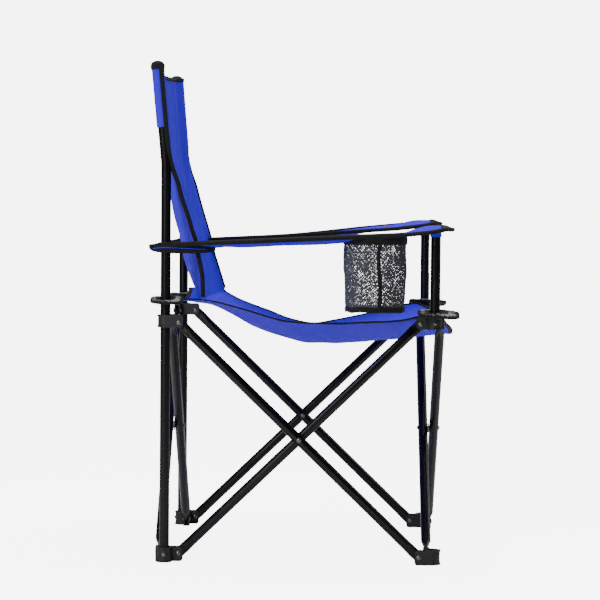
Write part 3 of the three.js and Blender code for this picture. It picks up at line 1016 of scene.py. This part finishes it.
class CAMPCHAIR_OT_arms(bpy.types.Operator):
    """Hang each arm from its rear post to its front post, with a hole for the cup"""

    bl_idname = "camp_chair.arms"
    bl_label = "Arms"

    def execute(self, context):
        for side, inward in (("right", 1), ("left", -1)):
            body = f"{side}_rear_leg"
            surface = arm_surface(inward)
            across = spaced(-1, 1, 31)
            cloth = cloth_sheet(f"{side}_arm_cloth", surface, across, spaced(0, 0.9995, 130),
                                coated_polyester(), thickness=0.0022)
            if inward > 0:
                cut_hole(cloth, (CUP.x, CUP.y, ARM_FRONT_HEIGHT), CUP_MOUTH_RADIUS)
            count = 110
            around_s = [-1.0] * count + [1.0] * count
            around_t = spaced(0, 0.9995, count) + spaced(0.9995, 0, count)
            path, ups = along_edge(surface, around_s, around_t)
            edge = sweep(
                f"{side}_arm_binding",
                path,
                flat_section(sizes().binding_width, 0.0066),
                woven_tape(),
                lambda i: Vector(ups[i]) if ups[i].z > 0 else -ups[i],
                closed=True,
            )
            centre_y = -inward * HALF
            path, heights = strap_path(centre_y)
            strap = sweep(
                f"{side}_arm_strap",
                path,
                flat_section(0.0026, 0.0178),
                woven_tape(),
                lambda i: (0, 0, 1),
                closed=True,
                grow=lambda i: heights[i],
            )
            beside = [(x, y + math.copysign(0.0016, y - centre_y), z - 0.0005)
                      for x, y, z in path if abs(y - centre_y) > 0.006]
            piping = sweep(
                f"{side}_arm_piping",
                sorted(place for place in beside if (place[1] - centre_y) * inward < 0),
                round_section(0.0007, 8),
                coated_polyester(),
                lambda i: (0, 0, 1),
            )
            loop_path = [
                (-HALF - 0.0215 + 0.0030 * math.cos(2 * math.pi * step / 40),
                 centre_y + 0.0085 * math.sin(2 * math.pi * step / 40), 0.5055)
                for step in range(40)
            ]
            loop = sweep(
                f"{side}_arm_loop",
                loop_path,
                flat_section(0.0052, 0.0080),
                woven_tape(),
                lambda i: (0, 0, 1),
                closed=True,
            )
            cover = cloth_sheet(
                f"{side}_arm_end",
                lambda s, t: tuple(Vector(surface(s * 0.97, t * 0.14)) + Vector((0, 0, 0.0018))),
                spaced(-1, 1, 15),
                spaced(0, 1, 14),
                woven_tape(),
                thickness=0.0012,
            )
            tip = cloth_sheet(
                f"{side}_arm_tip",
                lambda s, t: tuple(Vector(surface(s * 0.98, 0.955 + t * 0.0445))
                                   + Vector((0.0006, 0, 0.0017))),
                spaced(-1, 1, 21),
                spaced(0, 1, 12),
                woven_tape(),
                thickness=0.0012,
            )
            pieces = [cloth, edge, strap, piping, loop, cover, tip]
            top = surface(0, 0.888)[2]
            pocket = sweep(
                f"{side}_arm_pocket",
                [(HALF, centre_y, z) for z in spaced(ARM_POST_TOP - 0.002, top + 0.001, 8)],
                round_section(0.0092, 40),
                coated_polyester(),
            )
            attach(pocket, f"{side}_front_bracket")
            for piece in pieces:
                arm_squash(piece, body)
            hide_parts(f"{side}_arm_rest")
        return {"FINISHED"}


# ---- the cup holder's shape ----
CUP_HEIGHT = CUP_HIGH.z - CUP_LOW.z
SEAM_ANGLE = math.radians(-82)


def cup_wall(angle, share, stretch=0.0):
    """A point of the net's wall, share of the way up it; stretch pulls the knots about."""
    wave = 0.0016 * math.sin(3 * angle + 5 * share) + 0.0012 * math.sin(7 * angle - 4 * share)
    reach = CUP_RADIUS + wave * math.sin(math.pi * share) - 0.003 * (1 - share) ** 3
    if stretch:
        x, y, z = reach * math.cos(angle), reach * math.sin(angle), share * CUP_HEIGHT
        angle += stretch / CUP_RADIUS * ripple(x, y, z, 85, 11)
        pull = stretch / CUP_HEIGHT * ripple(x, y, z, 85, 23)
        share += pull * math.sin(math.pi * share)
    return (CUP.x + reach * math.cos(angle), CUP.y + reach * math.sin(angle),
            CUP_LOW.z + 0.002 + (CUP_HEIGHT - 0.003) * share)


def away_from_cup(place):
    return Vector((place.x - CUP.x, place.y - CUP.y, 0)).normalized()


def cup_ring(share, grow=0.0, steps=72):
    """Points round the wall at one height, grow outside it."""
    places = [Vector(cup_wall(2 * math.pi * i / steps, share)) for i in range(steps)]
    return [place + away_from_cup(place) * grow for place in places]


def add_diamonds(diamonds, base, around, rows, first_shift):
    """Adds the four corners of each diamond between rings of points that start at base."""
    for row in range(rows):
        shift = (row + first_shift) % 2
        for column in range(around):
            bottom = base + row * around + column
            left = base + (row + 1) * around + (column - 1 + shift) % around
            right = base + (row + 1) * around + (column + shift) % around
            diamonds.append((bottom, right, bottom + 2 * around, left))


def net_diamonds():
    """The knots of the cup's wall and base, and the diamonds between them."""
    knot_spacing = sizes().net_pitch * math.sqrt(2)
    around = int(2 * math.pi * CUP_RADIUS / knot_spacing)
    rows = int(CUP_HEIGHT / (knot_spacing / 2))
    points, diamonds = [], []
    for row in range(rows + 1):
        for column in range(around):
            angle = 2 * math.pi * (column + 0.5 * (row % 2)) / around
            points.append(cup_wall(angle, row / rows, stretch=0.006))
    add_diamonds(diamonds, 0, around, rows - 1, 0)
    rings, around_base = 11, around // 2
    base = len(points)
    for ring in range(1, rings):
        reach = (CUP_RADIUS - 0.003) * ring / rings
        for column in range(around_base):
            angle = 2 * math.pi * (column + 0.5 * (ring % 2)) / around_base
            x, y = reach * math.cos(angle), reach * math.sin(angle)
            sag = -0.001 + 0.0016 * ripple(x, y, 0, 60, 1)
            points.append((CUP.x + x, CUP.y + y, CUP_LOW.z + 0.0025 + sag))
    add_diamonds(diamonds, base, around_base, rings - 3, 1)
    return points, diamonds


def pierced_net(name, points, diamonds):
    """A net of diamonds, each with a hole in its middle, a thread thick."""
    knots = []
    for x, y, z in points:
        drift = Vector([ripple(x, y, z, 900, seed) for seed in (1, 2, 3)])
        knots.append(Vector((x, y, z)) + drift * 0.0006)
    faces = []
    for corners in diamonds:
        centre = sum((knots[corner] for corner in corners), Vector()) / 4
        share = sizes().net_hole * (1 + 0.6 * ripple(*centre, 1300, 4))
        inner = len(knots)
        knots += [centre.lerp(knots[corner], share) for corner in corners]
        for i in range(4):
            after = (i + 1) % 4
            faces.append((corners[i], corners[after], inner + after, inner + i))
    net = new_piece(name, knots, faces, knitted_net())
    thick = net.modifiers.new("Threads", "SOLIDIFY")
    thick.thickness = 0.0004
    apply_modifiers(net)
    return net


class CAMPCHAIR_OT_cup_holder(bpy.types.Operator):
    """Knit the cup holder: a net cup with a bound rim, a seam tape and a crumpled base"""

    bl_idname = "camp_chair.cup_holder"
    bl_label = "Cup holder"

    def execute(self, context):
        net = pierced_net("cup_net", *net_diamonds())
        rim = sweep(
            "cup_rim",
            cup_ring(0.985, grow=0.0006),
            flat_section(0.003, 0.013),
            woven_tape(),
            lambda i: (0, 0, 1),
            closed=True,
        )
        crumpled = []
        for place in cup_ring(0.012):
            wave = ripple(place.x, place.y, 0, 60, 4)
            crumpled.append(place + away_from_cup(place) * 0.0008 * wave
                            + Vector((0, 0, 0.0012 + 0.0016 * wave)))
        base_ring = sweep(
            "cup_base_ring",
            crumpled,
            flat_section(0.003, 0.009),
            woven_tape(),
            lambda i: (0, 0, 1),
            closed=True,
        )
        seam = []
        for share in spaced(0.01, 0.97, 30):
            kink = 0.05 * math.sin(6 * share + 0.5) * share
            place = Vector(cup_wall(SEAM_ANGLE + kink, share))
            seam.append((place + away_from_cup(place) * 0.0006, away_from_cup(place)))
        seam_tape = sweep(
            "cup_seam",
            [place for place, _ in seam],
            flat_section(0.006, 0.0016),
            woven_tape(),
            lambda i: seam[i][1],
        )
        pieces = [net, rim, base_ring, seam_tape]
        for piece in pieces:
            arm_squash(piece, "right_rear_leg")
        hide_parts("cup_holder")
        return {"FINISHED"}


# the stage, in metres and watts: a long lens from the sitter's right
CAMERA_PLACE = (0.0554, -3.846, 0.575)
CAMERA_TARGET = (-0.0004, -HALF, 0.4222)
CAMERA_ROLL = math.radians(0.48)
SENSOR_WIDTH = 36.0  # millimetres, as is the lens
LENS = 136.6
FLOOR_HALF_WIDTH = 9.0
FLOOR_FRONT = -6.0
FLOOR_REAR = 2.5
BACKDROP_RADIUS = 1.5
BACKDROP_TOP = 7.0
AIR_LIGHT = 0.05  # strength that lights the chair
AIR_GLOW = 7.5  # strengths that only the camera sees
FLOOR_GLOW = 6.0
# name, place, where it points, size and power
LIGHTS = (
    ("key_softbox", (-1.9, -2.4, 2.3), (0, 0, 0.5), (1.1, 1.1), 78),
    ("fill_softbox", (2.8, -1.2, 1.5), (0, 0, 0.4), (0.8, 0.8), 2),
    ("strip_softbox", (-1.5, -2.9, 1.0), (0, -0.2, 0.4), (0.16, 1.9), 12),
    ("rim_softbox", (2.2, 0.9, 1.2), (0, 0, 0.4), (0.25, 1.9), 8),
    ("top_softbox", (0.1, 0.2, 2.8), (0, 0, 0.4), (1.8, 1.8), 60),
)


class CAMPCHAIR_OT_stage(bpy.types.Operator):
    """Set out the camera, floor, backdrop and studio lights"""

    bl_idname = "camp_chair.stage"
    bl_label = "Stage"

    def execute(self, context):
        scene = context.scene
        data = bpy.data.cameras.new("Camera")
        camera = bpy.data.objects.new("Camera", data)
        scene.collection.objects.link(camera)
        data.sensor_width = SENSOR_WIDTH
        data.lens = LENS
        camera.location = CAMERA_PLACE
        turn = (Vector(CAMERA_TARGET) - camera.location).to_track_quat("-Z", "Y")
        roll = Matrix.Rotation(CAMERA_ROLL, 4, "Z")
        camera.rotation_euler = (turn.to_matrix().to_4x4() @ roll).to_euler()
        scene.camera = camera

        # the floor runs level, then curves up into a backdrop
        curve_steps = 12
        profile = [(FLOOR_FRONT, 0.0), (FLOOR_REAR, 0.0)]
        for step in range(1, curve_steps + 1):
            angle = math.pi / 2 * step / curve_steps
            profile.append((FLOOR_REAR + BACKDROP_RADIUS * math.sin(angle),
                            BACKDROP_RADIUS - BACKDROP_RADIUS * math.cos(angle)))
        profile.append((FLOOR_REAR + BACKDROP_RADIUS, BACKDROP_TOP))
        points, faces = [], []
        for y, z in profile:
            points += [(-FLOOR_HALF_WIDTH, y, z), (FLOOR_HALF_WIDTH, y, z)]
        for step in range(len(profile) - 1):
            faces.append((2 * step, 2 * step + 1, 2 * step + 3, 2 * step + 2))
        stage_objects = [camera, new_piece("studio_floor", points, faces, painted_floor())]

        for name, place, target, size, power in LIGHTS:
            data = bpy.data.lights.new(name, "AREA")
            data.shape = "RECTANGLE"
            data.size, data.size_y = size
            data.energy = power
            lamp = bpy.data.objects.new(name, data)
            scene.collection.objects.link(lamp)
            lamp.location = place
            aim = Vector(target) - lamp.location
            lamp.rotation_euler = aim.to_track_quat("-Z", "Y").to_euler()
            stage_objects.append(lamp)

        world = bpy.data.worlds.new("Studio air")
        scene.world = world
        world.use_nodes = True
        tree = world.node_tree
        air = tree.nodes["Background"]
        air.inputs["Color"].default_value = (1, 1, 1, 1)
        seen = add_node(tree, "ShaderNodeLightPath").outputs["Is Camera Ray"]
        glow = add_node(
            tree,
            "ShaderNodeMapRange",
            links=[("Value", seen)],
            inputs=[("To Min", AIR_LIGHT), ("To Max", AIR_GLOW)],
        )
        tree.links.new(glow.outputs["Result"], air.inputs["Strength"])
        return {"FINISHED"}


class CAMPCHAIR_PT_panel(bpy.types.Panel):
    """Camp chair pieces and settings"""

    bl_label = "Camp chair"
    bl_idname = "CAMPCHAIR_PT_panel"
    bl_space_type = "VIEW_3D"
    bl_region_type = "UI"
    bl_category = "Camp Chair"

    def draw(self, context):
        for group in (context.scene.camp_chair_sizes, context.scene.camp_chair_colours):
            for name in group.bl_rna.properties.keys():
                if name not in ("rna_type", "name"):
                    self.layout.prop(group, name)
        for operator in OPERATORS:
            self.layout.operator(operator.bl_idname)


OPERATORS = (
    CAMPCHAIR_OT_stage,
    CAMPCHAIR_OT_frame_finish,
    CAMPCHAIR_OT_patches,
    CAMPCHAIR_OT_seat,
    CAMPCHAIR_OT_back,
    CAMPCHAIR_OT_arms,
    CAMPCHAIR_OT_cup_holder,
)
CLASSES = (CampChairSizes, CampChairColours, *OPERATORS, CAMPCHAIR_PT_panel)


def register():
    for cls in CLASSES:
        bpy.utils.register_class(cls)
    bpy.types.Scene.camp_chair_sizes = bpy.props.PointerProperty(type=CampChairSizes)
    bpy.types.Scene.camp_chair_colours = bpy.props.PointerProperty(type=CampChairColours)


def unregister():
    del bpy.types.Scene.camp_chair_colours
    del bpy.types.Scene.camp_chair_sizes
    for cls in reversed(CLASSES):
        bpy.utils.unregister_class(cls)


def main():
    register()
    bpy.ops.camp_chair.stage()
    bpy.ops.camp_chair.frame_finish()
    bpy.ops.camp_chair.patches()
    bpy.ops.camp_chair.seat()
    bpy.ops.camp_chair.back()
    bpy.ops.camp_chair.arms()
    bpy.ops.camp_chair.cup_holder()


if __name__ == "__main__":
    main()
